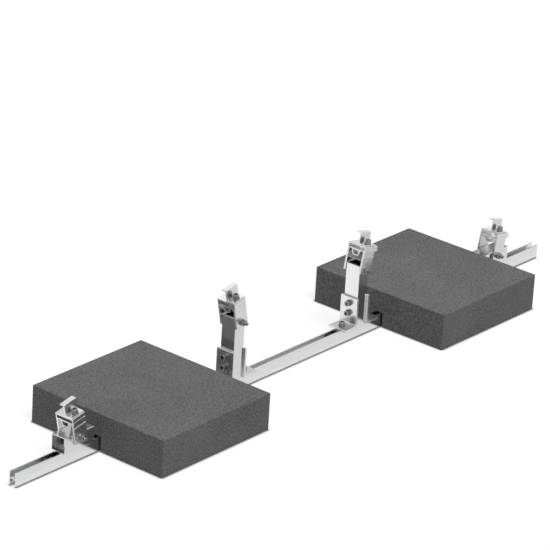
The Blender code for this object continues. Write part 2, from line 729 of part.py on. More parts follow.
def main():
    clear_scene()
    build_rail()
    for side in SIDES:
        build_block(side)
        build_post(side)
        build_low_base(side)
        for end in ("outer", "inner"):
            build_foot(side, end)
    for level, x in (("high", POST_X), ("low", LOW_BASE_X)):
        for side, sign in SIDES.items():
            carrier = add_empty(f"pivot_{level}_{side}", (sign * x, 0, pivot_height(x)),
                                sign * MODULE_TILT)
            build_head(level, side, carrier)
            build_clamp(level, side, carrier)
    build_pivot_fasteners()
    build_clamp_fasteners()
    build_post_fasteners()
    build_rail_fasteners()


main()
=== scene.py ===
"""Solar ballast mount: drawn aluminium, stainless fasteners and cast concrete."""
import math

import bmesh
import bpy
from bpy.props import FloatProperty, FloatVectorProperty, IntProperty, PointerProperty
from mathutils import Matrix, Vector


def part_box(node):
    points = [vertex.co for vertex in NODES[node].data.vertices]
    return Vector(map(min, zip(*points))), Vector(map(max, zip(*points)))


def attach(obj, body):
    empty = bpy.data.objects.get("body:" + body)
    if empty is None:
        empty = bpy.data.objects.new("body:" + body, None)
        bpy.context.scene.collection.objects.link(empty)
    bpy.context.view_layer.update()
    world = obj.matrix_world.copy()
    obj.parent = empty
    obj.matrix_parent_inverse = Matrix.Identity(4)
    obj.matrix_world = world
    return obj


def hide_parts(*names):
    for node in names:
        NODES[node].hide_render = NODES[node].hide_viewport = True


bl_info = {
    "name": "Solar ballast mount",
    "version": (1, 0, 0),
    "blender": (4, 5, 0),
    "location": "View3D > Sidebar > Mount",
    "description": "Dresses the mount's sections, blocks and fasteners and sets its studio",
    "category": "Object",
}

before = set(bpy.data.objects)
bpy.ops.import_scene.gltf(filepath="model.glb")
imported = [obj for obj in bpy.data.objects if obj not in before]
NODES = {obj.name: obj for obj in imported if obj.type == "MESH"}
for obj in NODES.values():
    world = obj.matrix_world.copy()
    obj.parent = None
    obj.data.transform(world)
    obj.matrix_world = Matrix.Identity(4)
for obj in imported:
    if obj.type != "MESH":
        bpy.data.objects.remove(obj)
SIDES = {"left": -1, "right": 1}
LEVELS = ("high", "low")


# Node graphs written as expressions

class Value:
    """A node's output that can be used in Python sums."""

    def __init__(self, graph, socket):
        self.graph = graph
        self.socket = socket

    def __add__(self, other):
        return self.graph.math("ADD", self, other)

    def __sub__(self, other):
        return self.graph.math("SUBTRACT", self, other)

    def __rsub__(self, other):
        return self.graph.math("SUBTRACT", other, self)

    def __mul__(self, other):
        return self.graph.math("MULTIPLY", self, other)

    def __truediv__(self, other):
        return self.graph.math("DIVIDE", self, other)

    def __rtruediv__(self, other):
        return self.graph.math("DIVIDE", other, self)

    __radd__ = __add__
    __rmul__ = __mul__


class Graph:
    """A node tree that is filled by calls, its nodes laid out in rows."""

    def __init__(self, tree):
        self.tree = tree
        self.count = 0

    def node(self, kind, settings=None, inputs=None):
        """New node with its settings made first, then its sockets set or linked."""
        node = self.tree.nodes.new(kind)
        node.location = (180 * (self.count % 12), -220 * (self.count // 12))
        self.count += 1
        for name, value in (settings or {}).items():
            setattr(node, name, value)
        for key, value in (inputs or {}).items():
            for part in value if isinstance(value, list) else [value]:
                self.feed(node.inputs[key], part)
        return node

    def feed(self, socket, value):
        """Link a value to a socket, or set the socket to a constant."""
        if isinstance(value, Value):
            self.tree.links.new(value.socket, socket)
        else:
            socket.default_value = value

    def get(self, kind, settings=None, inputs=None, output=0):
        """The chosen output of a new node."""
        return Value(self, self.node(kind, settings, inputs).outputs[output])

    def math(self, operation, *terms):
        """Result of one operation on values and numbers."""
        return self.get("ShaderNodeMath", {"operation": operation}, dict(enumerate(terms)))


class Shader(Graph):
    """Material with one Principled shader, and the textures that feed it."""

    def __init__(self, name, **fixed):
        self.material = bpy.data.materials.new(name)
        self.material.use_nodes = True
        super().__init__(self.material.node_tree)
        self.surface = self.tree.nodes["Principled BSDF"]
        self.set(**fixed)

    def set(self, **values):
        """Feed the shader's sockets, with an underscore for each space in their names."""
        for key, value in values.items():
            self.feed(self.surface.inputs[key.replace("_", " ")], value)

    def place(self, scale=(1, 1, 1), turn=(0, 0, 0)):
        """Object coordinates, turned and then scaled."""
        point = self.get("ShaderNodeTexCoord", output="Object")
        turned = self.get("ShaderNodeVectorRotate", {"rotation_type": "EULER_XYZ"},
                          {"Vector": point, "Rotation": turn})
        return self.get("ShaderNodeVectorMath", {"operation": "MULTIPLY"}, {0: turned, 1: scale})

    def noise(self, point, scale, detail=2.0, roughness=0.5):
        """Noise from 0 to 1 over a point."""
        return self.get("ShaderNodeTexNoise", None, {"Vector": point, "Scale": scale,
                                                     "Detail": detail, "Roughness": roughness})

    def ramp(self, value, low, high, start=0.0, end=1.0):
        """Value mapped from one range to another, held inside it."""
        return self.get("ShaderNodeMapRange", {"clamp": True},
                        {"Value": value, "From Min": low, "From Max": high,
                         "To Min": start, "To Max": end})

    def blend(self, factor, first, second):
        """Mix of two colours."""
        mix = self.node("ShaderNodeMix", {"data_type": "RGBA"})
        self.feed(mix.inputs[0], factor)
        for socket, colour in ((mix.inputs[6], first), (mix.inputs[7], second)):
            self.feed(socket, colour if isinstance(colour, Value) else (*colour, 1))
        return Value(self, mix.outputs[2])

    def bump(self, height, strength, distance):
        """Normal that follows a height."""
        normal = self.get("ShaderNodeBump", None,
                          {"Strength": strength, "Distance": distance, "Height": height})
        self.set(Normal=normal)


# Sizes and colours

class SectionSettings(bpy.types.PropertyGroup):
    """Drawn aluminium sections."""
    arris: FloatProperty(name="Arris", description="Width of the broken edges", default=0.0003,
                         min=0, unit="LENGTH", precision=5)
    arris_steps: IntProperty(name="Arris steps", description="Facets over a broken edge",
                             default=2, min=1)
    colour: FloatVectorProperty(name="Aluminium", description="Colour of the bright aluminium",
                                size=3, subtype="COLOR", default=(0.71, 0.715, 0.715))
    roughness: FloatProperty(name="Roughness", description="Roughness of the rail, the posts and "
                             "the low bases", default=0.09, min=0, max=1, subtype="FACTOR")
    fitting_roughness: FloatProperty(name="Fitting roughness", description="Roughness of the "
                                     "feet, the heads and the clamps", default=0.20, min=0,
                                     max=1, subtype="FACTOR")
    sawn: FloatProperty(name="Sawn ends", description="Roughness that the saw adds to the ends",
                        default=0.10, min=0, max=1, subtype="FACTOR")


class ConcreteSettings(bpy.types.PropertyGroup):
    """Cast ballast blocks."""
    dark: FloatVectorProperty(name="Dark grey", description="Damp and dense patches", size=3,
                              subtype="COLOR", default=(0.046, 0.046, 0.046))
    light: FloatVectorProperty(name="Light grey", description="Dry cement skin", size=3,
                               subtype="COLOR", default=(0.228, 0.228, 0.226))
    grit: FloatVectorProperty(name="Grit", description="Stones that show in the skin", size=3,
                              subtype="COLOR", default=(0.050, 0.050, 0.050))
    # Pits: colour of the air holes, a painted shade for the dark inside them
    pit: FloatVectorProperty(name="Pits", description="Air holes in the skin", size=3,
                             subtype="COLOR", default=(0.025, 0.025, 0.025))


class FastenerSettings(bpy.types.PropertyGroup):
    """Stainless screws, nuts and washers."""
    diameter: FloatProperty(name="Thread", description="Thread diameter", default=0.008,
                            unit="LENGTH", precision=4)
    pitch: FloatProperty(name="Pitch", description="Thread pitch", default=0.00125,
                         unit="LENGTH", precision=5)
    head: FloatProperty(name="Screw head", description="Diameter of the socket heads",
                        default=0.013, unit="LENGTH", precision=4)
    head_height: FloatProperty(name="Head height", description="Height of the socket heads",
                               default=0.008, unit="LENGTH", precision=4)
    key: FloatProperty(name="Key size", description="Width of the hexagon sockets",
                       default=0.0062, unit="LENGTH", precision=4)
    key_depth: FloatProperty(name="Key depth", description="Depth of the hexagon sockets",
                             default=0.0045, unit="LENGTH", precision=4)
    flats: FloatProperty(name="Across flats", description="Width of hexagon heads and nuts",
                         default=0.013, unit="LENGTH", precision=4)
    bolt_head: FloatProperty(name="Bolt head", description="Height of the hexagon heads",
                             default=0.0055, unit="LENGTH", precision=4)
    nut: FloatProperty(name="Nut", description="Height of the nuts", default=0.0068,
                       unit="LENGTH", precision=4)
    washer: FloatProperty(name="Washer", description="Diameter of the flat washers",
                          default=0.016, unit="LENGTH", precision=4)
    washer_thickness: FloatProperty(name="Washer thickness",
                                    description="Thickness of the flat washers",
                                    default=0.0016, unit="LENGTH", precision=4)
    spring: FloatProperty(name="Spring washer", description="Diameter of the spring washers",
                          default=0.0142, unit="LENGTH", precision=4)
    spring_thickness: FloatProperty(name="Spring thickness",
                                    description="Thickness of the spring washers",
                                    default=0.0022, unit="LENGTH", precision=4)
    clamp_seat: FloatProperty(name="Clamp seat", description="Height of the clamp screws' heads "
                              "over the pivots, along the heads' own axes", default=0.0644,
                              unit="LENGTH", precision=4)
    clamp_shank: FloatProperty(name="Clamp shank", description="Clamp screw's length under its "
                               "washer", default=0.0131, unit="LENGTH", precision=4)
    clamp_offset: FloatProperty(name="Clamp offset", description="Clamp screws' distance in front "
                                "of the heads' middle", default=0.0155, unit="LENGTH", precision=4)
    colour: FloatVectorProperty(name="Steel", description="Colour of the stainless steel", size=3,
                                subtype="COLOR", default=(0.25, 0.25, 0.246))


class StageSettings(bpy.types.PropertyGroup):
    """Camera, lamps and floor."""
    eye: FloatVectorProperty(name="Camera", description="Place of the camera", size=3,
                             subtype="TRANSLATION", unit="LENGTH",
                             default=(-6.31408, -5.04556, 3.68314))
    turn: FloatVectorProperty(name="Camera turn", description="Rotation of the camera", size=3,
                              subtype="EULER", unit="ROTATION",
                              default=(1.165267, -0.055109, -0.866470))
    lens: FloatProperty(name="Lens", description="Focal length on a 36 mm frame, in millimetres",
                        default=249.26, unit="CAMERA")
    floor_size: FloatProperty(name="Floor", description="Side of the floor", default=60,
                              unit="LENGTH")
    key: FloatProperty(name="Key light", description="Strength of the broad key light",
                       default=1.75, min=0)
    key_angle: FloatProperty(name="Key size", description="How wide the key light looks",
                             default=math.radians(21), subtype="ANGLE", unit="ROTATION")
    softbox: FloatProperty(name="Softbox", description="Power of the softbox behind the mount",
                           default=1.6, unit="POWER")
    fill: FloatProperty(name="Fill light", description="Strength of the fill light from the right",
                        default=0.8, min=0)
    fill_angle: FloatProperty(name="Fill size", description="How wide the fill light looks",
                              default=math.radians(35), subtype="ANGLE", unit="ROTATION")
    # Cards that glow for reflections only: painted reflections of light and shade in the metal
    grey_card: FloatProperty(name="Grey card", description="Brightness of the large card that "
                             "the metal mirrors", default=0.55, min=0, max=1, subtype="FACTOR")
    bright_card: FloatProperty(name="Bright card", description="Brightness of the card that the "
                               "feet mirror", default=0.85, min=0, max=1, subtype="FACTOR")
    # Dark cards: painted dark reflections in the low bases, as of shade over them
    dark_card: FloatProperty(name="Dark cards", description="Brightness of the cards that the "
                             "low bases mirror", default=0.10, min=0, max=1, subtype="FACTOR")
    # Tube card: painted light, a glowing card that the tube's inside mirrors as a soft grey at its
    # open end
    tube_card: FloatProperty(name="Tube card", description="Brightness of the card behind the "
                             "left low base's tube", default=0.7, min=0, max=1, subtype="FACTOR")
    ambient: FloatProperty(name="Ambient", description="Strength of the room's soft light",
                           default=0.38, min=0)


GROUPS = {"mount_sections": SectionSettings, "mount_concrete": ConcreteSettings,
          "mount_fasteners": FastenerSettings, "mount_stage": StageSettings}


# The stage: places of the lamps, which all point at the mount's middle
KEY_PLACE = (-0.84, -3.08, 6.23)
FILL_PLACE = (3.0, 0.4, 0.7)
SOFTBOX_PLACE = (2.15, 2.56, 3.0)
SOFTBOX_WIDTH = 1.7

# Floor: its height, just under the mount, the light it gives back, how white it is seen, the share
# of that which shadows take, and how far and how steeply the painted contact shadow darkens its
# white
FLOOR_HEIGHT = -0.0004
FLOOR_BOUNCE = 0.55
FLOOR_WHITE = 1.04
FLOOR_SHADOW = 0.22
CONTACT_REACH = 0.007
CONTACT_POWER = 3.0

# Floor in reflections: painted reflection shade that is added from one place in Y to the other,
# darker on the near side and lighter beyond
MIRRORED_SPAN = (-0.10, 0.15)
MIRRORED_SHADE = (-0.14, 0.16)

# Glowing cards that only reflections see, painted reflections of light and shade in the metal:
# setting and two opposite corners
CARDS = (("grey_card", (-1.0, 0.30, 0.420), (1.7, 1.90, 0.420)),
         ("bright_card", (0.36, 0.42, 0.415), (0.95, 0.62, 0.415)),
         ("dark_card", (-0.30, 0.40, 0.415), (-0.02, 0.54, 0.415)),
         ("dark_card", (1.40, 0.40, 0.415), (1.70, 0.65, 0.415)),
         # Tube card: painted glow seen through the left low base's open tube
         ("tube_card", (-0.690, -0.030, 0.034), (-0.690, 0.030, 0.076)))


# Layout of the mount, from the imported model

TILT = math.radians(12.3)


def middle(node, axis):
    """Middle of a node's box along one axis."""
    low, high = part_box(node)
    return (low[axis] + high[axis]) / 2


def head_place(level, side):
    """Matrix of a head's own axes: origin on its pivot, Z square to its top."""
    sign = SIDES[side]
    carrier = f"post_{side}" if level == "high" else f"low_base_{side}"
    pivot = Vector((middle(carrier, 0), 0, middle(f"pivot_nut_{level}_{side}", 2)))
    return Matrix.Translation(pivot) @ Matrix.Rotation(sign * TILT, 4, "Y")


# Materials

def bright_aluminium(name, turn, way, roughness):
    """Drawn aluminium: die lines along the section, faint handling marks and sawn ends."""
    look = bpy.context.scene.mount_sections
    shader = Shader(name, Metallic=1.0)
    lines = shader.noise(shader.place((6, 1600, 1600), turn), 1.0, 3.0, 0.65)
    bands = shader.noise(shader.place((1.5, 190, 190), turn), 1.0, 2.0, 0.5)
    teeth = shader.noise(shader.place((60, 60, 2400), turn), 1.0, 2.0, 0.6)
    marks = shader.noise(shader.place(), 26.0, 4.0, 0.6)
    smears = shader.ramp(marks, 0.48, 0.72)
    normal = shader.get("ShaderNodeTexCoord", output="Normal")
    facing = shader.get("ShaderNodeVectorMath", {"operation": "DOT_PRODUCT"}, {0: normal, 1: way},
                        output="Value")
    sawn = shader.ramp(shader.math("ABSOLUTE", facing), 0.93, 0.96)
    base = Vector(look.colour)
    shader.set(Base_Color=shader.blend(shader.ramp(bands, 0.3, 0.7), tuple(base * 0.965),
                                       tuple(base * 1.03)))
    shader.set(Roughness=shader.ramp(lines, 0.25, 0.75, 0.0, 0.07) + smears * 0.10
               + sawn * look.sawn + roughness)
    shader.bump((lines * 0.6 + bands * 0.4) * (1.0 - sawn) + teeth * sawn, 0.07, 0.0001)
    return shader.material


def stainless(name, scale=1.0):
    """Stainless steel: rolled and turned marks over a grey, slightly warm metal."""
    look = bpy.context.scene.mount_fasteners
    shader = Shader(name, Metallic=1.0)
    fine = shader.noise(shader.place(), 2600 * scale, 3.0, 0.6)
    patches = shader.noise(shader.place(), 210 * scale, 3.0, 0.55)
    base = Vector(look.colour)
    shader.set(Base_Color=shader.blend(shader.ramp(patches, 0.35, 0.68), tuple(base * 0.84),
                                       tuple(base * 1.08)))
    shader.set(Roughness=shader.ramp(fine, 0.3, 0.7, 0.24, 0.38) + shader.ramp(patches, 0.4, 0.7)
               * 0.06)
    shader.bump(fine, 0.12, 0.0001)
    return shader.material


def cast_concrete(name):
    """Cast concrete: cement skin with sand grain, darker aggregate, pits darkened with painted
    shade, and soft clouds.
    """
    look = bpy.context.scene.mount_concrete
    shader = Shader(name, Specular_IOR_Level=0.25)
    point = shader.place()
    clouds = shader.noise(point, 7.0, 4.0, 0.55)
    mottle = shader.noise(point, 230.0, 5.0, 0.6)
    sand = shader.noise(point, 480.0, 5.0, 0.8)
    pits = shader.get("ShaderNodeTexVoronoi", {"feature": "F1"},
                      {"Vector": point, "Scale": 58.0, "Randomness": 1.0})
    stones = shader.get("ShaderNodeTexVoronoi", {"feature": "F1"},
                        {"Vector": point, "Scale": 230.0, "Randomness": 1.0})
    pit = shader.ramp(pits, 0.05, 0.11, 1.0, 0.0)
    grain = shader.ramp(stones, 0.10, 0.34, 1.0, 0.0) * shader.ramp(mottle, 0.42, 0.58)
    tone = (shader.ramp(clouds, 0.3, 0.7) * 0.16 + shader.ramp(mottle, 0.39, 0.61) * 0.46
            + shader.ramp(sand, 0.38, 0.62) * 0.38)
    skin = shader.blend(tone, tuple(look.dark), tuple(look.light))
    specked = shader.blend(grain * 0.6, skin, tuple(look.grit))
    # The air holes take painted shade: their near-black colour stands for the shade inside them,
    # and the bump sinks them
    shader.set(Base_Color=shader.blend(pit * 0.85, specked, tuple(look.pit)))
    shader.set(Roughness=shader.ramp(sand, 0.3, 0.7, 0.80, 0.95))
    shader.bump(mottle * 0.45 + sand * 0.5 - pit * 1.4, 0.6, 0.0007)
    return shader.material


# Pieces

# Distance under which points are one, and the angles of a flat joint, a broken edge and a
# fastener's sharp edge
WELD = 0.000004
FLAT_ANGLE = math.radians(0.4)
ARRIS_ANGLE = math.radians(40)
SHARP_ANGLE = math.radians(32)


def finish_piece(name, mesh, nodes, material=None):
    """Link a mesh as a piece that stands for its CAD nodes."""
    piece = bpy.data.objects.new(name, mesh)
    bpy.context.scene.collection.objects.link(piece)
    if material:
        mesh.materials.clear()
        mesh.materials.append(material)
    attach(piece, "root")
    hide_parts(*nodes)
    return piece


def baked(piece, name):
    """Plain mesh of an object with its modifiers applied, after which the object goes."""
    view = bpy.context.evaluated_depsgraph_get()
    mesh = bpy.data.meshes.new_from_object(piece.evaluated_get(view))
    mesh.name = name
    source = piece.data
    bpy.data.objects.remove(piece, do_unlink=True)
    if source.users == 0:
        bpy.data.meshes.remove(source)
    return mesh


def broken_edges(node, material):
    """A section's own shape with its sharp edges broken, as after sawing and drilling."""
    look = bpy.context.scene.mount_sections
    shape = bmesh.new()
    shape.from_mesh(NODES[node].data)
    bmesh.ops.remove_doubles(shape, verts=shape.verts, dist=WELD)
    bmesh.ops.dissolve_limit(shape, angle_limit=FLAT_ANGLE, verts=shape.verts, edges=shape.edges)
    mesh = bpy.data.meshes.new(node + "_edges")
    shape.to_mesh(mesh)
    shape.free()
    mesh.shade_smooth()
    blank = bpy.data.objects.new(node + "_edges", mesh)
    bpy.context.scene.collection.objects.link(blank)
    arris = blank.modifiers.new("arris", "BEVEL")
    arris.width = look.arris
    arris.segments = look.arris_steps
    arris.limit_method = "ANGLE"
    arris.angle_limit = ARRIS_ANGLE
    arris.miter_outer = "MITER_ARC"
    weight = blank.modifiers.new("flat faces", "WEIGHTED_NORMAL")
    weight.mode = "FACE_AREA"
    weight.weight = 100
    return finish_piece(node + "_section", baked(blank, node + "_section"), [node],
                        material)


# Fastener trees

# Facets of the round forms
DRUM_SIDES = 48
HEAD_SIDES = 72
SHANK_SIDES = 26
COIL_STEPS = 44

# Thread: its ridge's size as a share of the pitch, its point as a share of the diameter, and
# as shares of that point how far it tapers, where the ridge starts and what it leaves bare
RIDGE_SHARE = 0.54
TIP_SHARE = 0.1
TAPER_SHARE = 0.8
START_SHARE = 0.9
BARE_SHARE = 1.6

# Spring washer: its wire as a share of its thickness, the wire's width and its inset as shares
# of the wire, and its turns
WIRE_SHARE = 0.86
WIRE_WIDTH_SHARE = 1.1
WIRE_INSET_SHARE = 0.55
COIL_TURNS = 0.965

# Screw head: its rim as a share of its height, and its shoulder and knurl as shares of its radius
RIM_SHARE = 0.11
SHOULDER_SHARE = 0.985
KNURL_SHARE = 0.032

# Hexagon: its round face as a share of its flats, the cutters' overrun as a share of its height,
# and their flare as a share of their own height
FACE_SHARE = 0.482
OVERRUN_SHARE = 0.25
FLARE_SHARE = 1.7


def new_tree(name, sizes):
    """Geometry tree with a mesh input of seats and named size inputs."""
    tree = bpy.data.node_groups.new(name, "GeometryNodeTree")
    tree.interface.new_socket("Seats", in_out="INPUT", socket_type="NodeSocketGeometry")
    keys = {}
    for size, value in sizes.items():
        socket = tree.interface.new_socket(size, in_out="INPUT", socket_type="NodeSocketFloat")
        socket.default_value = value
        keys[size] = socket.identifier
    tree.interface.new_socket("Fasteners", in_out="OUTPUT", socket_type="NodeSocketGeometry")
    graph = Graph(tree)
    source = graph.node("NodeGroupInput")
    given = {size: Value(graph, source.outputs[size]) for size in ["Seats", *sizes]}
    return graph, given, keys


def raised(graph, geometry, height):
    """Geometry moved along its own axis."""
    offset = graph.get("ShaderNodeCombineXYZ", None, {"Z": height})
    return graph.get("GeometryNodeTransform", None, {"Geometry": geometry, "Translation": offset})


def drum(graph, radius, height, bottom, sides=DRUM_SIDES):
    """Round or many-sided solid that stands on a height."""
    solid = graph.get("GeometryNodeMeshCylinder", None,
                      {"Vertices": sides, "Radius": radius, "Depth": height})
    return raised(graph, solid, height * 0.5 + bottom)


def cone(graph, bottom_radius, top_radius, height, bottom, sides=DRUM_SIDES):
    """Cut-off cone that stands on a height."""
    solid = graph.get("GeometryNodeMeshCone", None,
                      {"Vertices": sides, "Radius Top": top_radius,
                       "Radius Bottom": bottom_radius, "Depth": height})
    return raised(graph, solid, bottom)


def merged(graph, solids):
    """Solids joined into one mesh, as they are."""
    return graph.get("GeometryNodeJoinGeometry", None, {"Geometry": solids})


def boolean(graph, operation, first, seconds):
    """Exact union, difference or intersection of solids."""
    inputs = {"Mesh 2": [first, *seconds]}
    if operation == "DIFFERENCE":
        inputs = {"Mesh 1": first, "Mesh 2": seconds}
    return graph.get("GeometryNodeMeshBoolean", {"operation": operation, "solver": "EXACT"},
                     inputs)


def disc(graph, diameter, thickness, top, chamfer=0.0002):
    """Flat washer with broken rims, hanging from a height."""
    radius = diameter * 0.5
    return merged(graph, [
        cone(graph, radius - chamfer, radius, chamfer, top - thickness),
        drum(graph, radius, thickness - 2 * chamfer, top - thickness + chamfer),
        cone(graph, radius, radius - chamfer, chamfer, top - chamfer)])


def spring_ring(graph, diameter, thickness, top):
    """Spring washer: one square coil, cut through, its ends sprung a little apart."""
    wire = thickness * WIRE_SHARE
    radius = diameter * 0.5 - wire * WIRE_INSET_SHARE
    coil = graph.get("GeometryNodeCurveSpiral", None,
                     {"Resolution": COIL_STEPS, "Rotations": COIL_TURNS, "Start Radius": radius,
                      "End Radius": radius, "Height": thickness - wire})
    section = graph.get("GeometryNodeCurvePrimitiveQuadrilateral", {"mode": "RECTANGLE"},
                        {"Width": wire, "Height": wire * WIRE_WIDTH_SHARE})
    ring = graph.get("GeometryNodeCurveToMesh", None,
                     {"Curve": coil, "Profile Curve": section, "Fill Caps": True})
    return raised(graph, ring, top - thickness + wire * 0.5)


def thread(graph, diameter, pitch, length, top):
    """Threaded rod: a core with one ridge wound round it, pointed with a small chamfer."""
    tip = diameter * TIP_SHARE
    ridge_height = pitch * RIDGE_SHARE
    root = diameter * 0.5 - ridge_height
    wound = length - tip * BARE_SHARE
    helix = graph.get("GeometryNodeCurveSpiral", None,
                      {"Resolution": SHANK_SIDES, "Rotations": wound / pitch,
                       "Start Radius": root, "End Radius": root, "Height": wound})
    section = graph.get("GeometryNodeCurvePrimitiveCircle", {"mode": "RADIUS"},
                        {"Resolution": 3, "Radius": ridge_height})
    ridge = graph.get("GeometryNodeCurveToMesh", None,
                      {"Curve": helix, "Profile Curve": section, "Fill Caps": True})
    core = drum(graph, root, length - tip, top - length + tip, SHANK_SIDES)
    point = cone(graph, root - tip * TAPER_SHARE, root, tip, top - length, SHANK_SIDES)
    return merged(graph, [merged(graph, [core, point]),
                          raised(graph, ridge, top - length + tip * START_SHARE)])


def corner_radius(flats):
    """Radius of a hexagon's corners, from its width across flats."""
    return flats / (2 * math.cos(math.pi / 6))


def knurled_head(graph, given):
    """Round screw head with a fine knurl, a broken rim and a hexagon socket."""
    radius = given["Head"] * 0.5
    height = given["Head height"]
    rim = height * RIM_SHARE
    body = drum(graph, radius, height - rim, 0, HEAD_SIDES)
    odd = graph.math("MODULO", graph.get("GeometryNodeInputIndex"), 2)
    position = graph.get("GeometryNodeInputPosition")
    inwards = graph.get("ShaderNodeVectorMath", {"operation": "MULTIPLY"},
                        {0: position, 1: (-KNURL_SHARE, -KNURL_SHARE, 0)})
    groove = graph.get("ShaderNodeVectorMath", {"operation": "SCALE"}, {0: inwards, "Scale": odd})
    body = graph.get("GeometryNodeSetPosition", None, {"Geometry": body, "Offset": groove})
    top = cone(graph, radius * SHOULDER_SHARE, radius - rim, rim, height - rim, HEAD_SIDES)
    solid = boolean(graph, "UNION", body, [top])
    key = drum(graph, corner_radius(given["Key"]), given["Key depth"] * 2,
               height - given["Key depth"], 6)
    return boolean(graph, "DIFFERENCE", solid, [key])


def hexagon_solid(graph, flats, height, bottom):
    """Hexagon with its corners turned off at both ends."""
    spare = height * OVERRUN_SHARE
    prism = drum(graph, corner_radius(flats), height + spare * 2, bottom - spare, 6)
    face = flats * FACE_SHARE
    flare = (height + spare) * FLARE_SHARE
    upper = cone(graph, flare + face, face, height + spare, bottom - spare)
    lower = cone(graph, face, flare + face, height + spare, bottom)
    return boolean(graph, "INTERSECT", prism, [upper, lower])


def seat_copies(graph, seats, fastener, material):
    """One fastener on each seat, turned to the seat's own way, as plain shaded mesh."""
    def attribute(name):
        return graph.get("GeometryNodeInputNamedAttribute", {"data_type": "FLOAT_VECTOR"},
                         {"Name": name})
    turn = graph.get("FunctionNodeAxesToRotation", {"primary_axis": "Z", "secondary_axis": "X"},
                     {"Primary Axis": attribute("way"), "Secondary Axis": attribute("turn")})
    copies = graph.get("GeometryNodeInstanceOnPoints", None,
                       {"Points": seats, "Instance": fastener, "Rotation": turn})
    plain = graph.get("GeometryNodeRealizeInstances", None, {"Geometry": copies})
    coated = graph.get("GeometryNodeSetMaterial", None, {"Geometry": plain, "Material": material})
    graph.node("NodeGroupOutput", None, {0: coated})


def fasteners(name, places, tree, keys, sizes, nodes):
    """Run a fastener tree over its seats and keep the result as one plain piece."""
    mesh = bpy.data.meshes.new(name)
    mesh.from_pydata([place.translation[:] for place in places], [], [])
    for attribute, column in (("way", 2), ("turn", 0)):
        layer = mesh.attributes.new(attribute, "FLOAT_VECTOR", "POINT")
        for entry, place in zip(layer.data, places):
            entry.vector = place.to_3x3().col[column][:]
    seats = bpy.data.objects.new(name + "_seats", mesh)
    bpy.context.scene.collection.objects.link(seats)
    maker = seats.modifiers.new("fasteners", "NODES")
    maker.node_group = tree
    for size, value in sizes.items():
        maker[keys[size]] = value
    result = baked(seats, name)
    result.shade_smooth()
    result.set_sharp_from_angle(angle=SHARP_ANGLE)
    return finish_piece(name, result, nodes)


def washer_sizes():
    """Inputs of every fastener tree."""
    look = bpy.context.scene.mount_fasteners
    return {"Washer": look.washer, "Washer thickness": look.washer_thickness}


def shank_sizes():
    """Inputs of the trees with a threaded shank, whose length each group sets."""
    look = bpy.context.scene.mount_fasteners
    return {**washer_sizes(), "Thread": look.diameter, "Pitch": look.pitch, "Length": 0.0}


def screw_tree(sprung, material):
    """Socket screw with a flat washer, and a spring washer between them if it is sprung."""
    look = bpy.context.scene.mount_fasteners
    sizes = {**shank_sizes(), "Head": look.head, "Head height": look.head_height,
             "Key": look.key, "Key depth": look.key_depth, "Spring": look.spring,
             "Spring thickness": look.spring_thickness}
    graph, given, keys = new_tree("sprung_screw" if sprung else "plain_screw", sizes)
    level = given["Spring thickness"] * (-1.0 if sprung else 0.0)
    washer_foot = level - given["Washer thickness"]
    solids = [knurled_head(graph, given),
              disc(graph, given["Washer"], given["Washer thickness"], level),
              thread(graph, given["Thread"], given["Pitch"], given["Length"], washer_foot)]
    if sprung:
        solids += [spring_ring(graph, given["Spring"], given["Spring thickness"], 0),
                   drum(graph, given["Thread"] * 0.5, given["Spring thickness"], level, 26)]
    seat_copies(graph, given["Seats"], merged(graph, solids), material)
    return graph.tree, keys, sizes


def bolt_tree(material):
    """Hexagon bolt with a flat washer."""
    look = bpy.context.scene.mount_fasteners
    sizes = {**shank_sizes(), "Flats": look.flats, "Height": look.bolt_head}
    graph, given, keys = new_tree("hexagon_bolt", sizes)
    solids = [hexagon_solid(graph, given["Flats"], given["Height"], 0),
              disc(graph, given["Washer"], given["Washer thickness"], 0),
              thread(graph, given["Thread"], given["Pitch"], given["Length"],
                     given["Washer thickness"] * -1.0)]
    seat_copies(graph, given["Seats"], merged(graph, solids), material)
    return graph.tree, keys, sizes


def nut_tree(material):
    """Hexagon nut that stands on a flat washer."""
    look = bpy.context.scene.mount_fasteners
    sizes = {**washer_sizes(), "Flats": look.flats, "Height": look.nut}
    graph, given, keys = new_tree("hexagon_nut", sizes)
    solids = [hexagon_solid(graph, given["Flats"], given["Height"], given["Washer thickness"]),
              disc(graph, given["Washer"], given["Washer thickness"], given["Washer thickness"])]
    seat_copies(graph, given["Seats"], merged(graph, solids), material)
    return graph.tree, keys, sizes


def seat_over(node, axis, sign, head):
    """Matrix of a screw seat that faces along one axis, a head's height inside its node's end."""
    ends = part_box(node)
    spot = Vector([middle(node, each) for each in range(3)])
    spot[axis] = ends[sign > 0][axis] - sign * head
    ways = {0: Matrix.Rotation(sign * math.pi / 2, 4, "Y"),
            1: Matrix.Rotation(-sign * math.pi / 2, 4, "X"),
            2: Matrix.Identity(4)}
    return Matrix.Translation(spot) @ ways[axis]


def tilted_seats(nodes, sign, head):
    """Seats along Y that are turned with the tilting heads they lie on."""
    seats = []
    for node in nodes:
        seat = seat_over(node, 1, sign, head)
        turn = Matrix.Rotation(SIDES[node.rsplit("_", 1)[1]] * TILT, 4, "Y")
        seats.append(Matrix.Translation(seat.translation) @ turn @ seat.to_3x3().to_4x4())
    return seats


def shank_under(node, axis, head):
    """Length of a screw under its washer, from its node's box."""
    low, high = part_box(node)
    return high[axis] - low[axis] - head - bpy.context.scene.mount_fasteners.washer_thickness


# Operators

